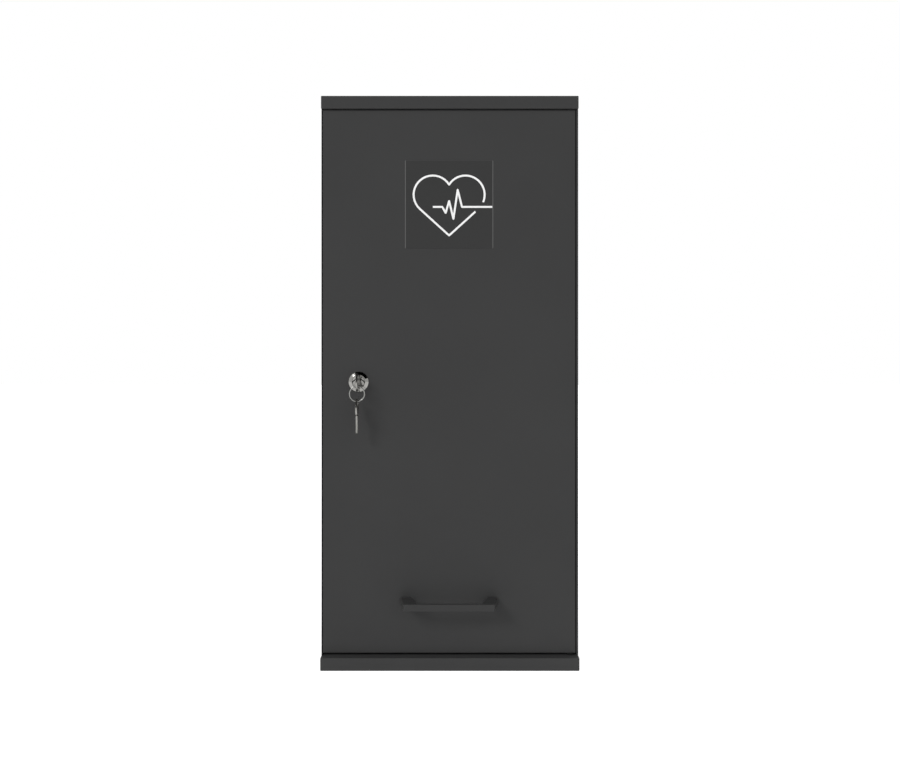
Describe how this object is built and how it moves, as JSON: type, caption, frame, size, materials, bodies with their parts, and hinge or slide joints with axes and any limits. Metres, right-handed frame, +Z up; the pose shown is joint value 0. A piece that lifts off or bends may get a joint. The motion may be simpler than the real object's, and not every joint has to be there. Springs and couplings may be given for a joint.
{
  "type": "lockable medicine cabinet",
  "caption": "Wall-mounted sheet-steel medicine cabinet with a pivoted lockable door, bow handle and removable shelves.",
  "frame": {"origin": "under the middle of the bounding box, on the surface the cabinet stands on", "axes": "+Z up, +Y from the door to the wall, X across the front with the hinge at +X"},
  "size_m": [0.3, 0.1994, 0.667],
  "materials": {
    "carcass_paint": "matt anthracite powder coat",
    "door_paint": "matt anthracite powder coat",
    "zinc_steel": "bright zinc plated",
    "bright_steel": "bright drawn steel",
    "lock_chrome": "satin nickel plated",
    "key_nickel": "nickel-plated, lightly worn",
    "rubber": "matt",
    "nylon": "matt black nylon",
    "sign_film": "satin self-adhesive film",
    "sign_print": "white print"
  },
  "bodies": {
    "cabinet": {"top_cover": "carcass_paint", "ceiling_panel": "carcass_paint", "base_tray": "carcass_paint", "left_side_panel": "carcass_paint", "right_side_panel": "carcass_paint", "back_panel": "carcass_paint", "lock_stile": "carcass_paint", "hinge_stile": "carcass_paint", "stile_legs": "carcass_paint", "wall_strips": "zinc_steel", "shelf_rails": "zinc_steel", "shelf_clips": "zinc_steel", "top_hinge_bush": "nylon", "bottom_hinge_bush": "nylon", "door_bumpers": "rubber"},
    "lower_shelf": {"lower_shelf": "carcass_paint"},
    "middle_shelf": {"middle_shelf": "carcass_paint"},
    "upper_shelf": {"upper_shelf": "carcass_paint"},
    "door": {"door_skin": "door_paint", "door_side_returns": "door_paint", "door_end_returns": "door_paint", "door_stiffener": "zinc_steel", "pin_blocks": "zinc_steel", "top_hinge_pin": "bright_steel", "bottom_hinge_pin": "bright_steel", "handle": "door_paint", "handle_screws": "zinc_steel", "sign_film": "sign_film", "sign_print": "sign_print", "lock_housing": "lock_chrome", "lock_nut": "zinc_steel"},
    "lock_cylinder": {"lock_plug": "lock_chrome", "lock_cam": "zinc_steel", "cam_screw": "zinc_steel"},
    "key": {"key": "key_nickel"},
    "key_ring": {"key_ring": "bright_steel"},
    "spare_key": {"spare_key": "key_nickel"}
  },
  "joints": [
    {"name": "door_hinge", "type": "hinge", "parent": "cabinet", "child": "door", "pos_m": [0.1408, -0.0663, 0.3335], "axis": [0, 0, 1], "range_deg": [0, 110]},
    {"name": "lock_turn", "type": "hinge", "parent": "door", "child": "lock_cylinder", "pos_m": [-0.1063, -0.0708, 0.334], "axis": [0, 1, 0], "range_deg": [0, 90]},
    {"name": "key_withdraw", "type": "slide", "parent": "lock_cylinder", "child": "key", "axis": [0, -1, 0], "range_m": [0, 0.025]},
    {"name": "key_ring_swing", "type": "hinge", "parent": "key", "child": "key_ring", "pos_m": [-0.1063, -0.08935, 0.3297], "axis": [1, 0, 0], "range_deg": [-75, 8]},
    {"name": "spare_key_swing", "type": "hinge", "parent": "key_ring", "child": "spare_key", "pos_m": [-0.1063, -0.08935, 0.3125], "axis": [1, 0, 0], "range_deg": [-60, 12]},
    {"name": "lower_shelf_lift", "type": "slide", "parent": "cabinet", "child": "lower_shelf", "axis": [0, 0, 1], "range_m": [0, 0.02]},
    {"name": "middle_shelf_lift", "type": "slide", "parent": "cabinet", "child": "middle_shelf", "axis": [0, 0, 1], "range_m": [0, 0.02]},
    {"name": "upper_shelf_lift", "type": "slide", "parent": "cabinet", "child": "upper_shelf", "axis": [0, 0, 1], "range_m": [0, 0.02]}
  ]
}
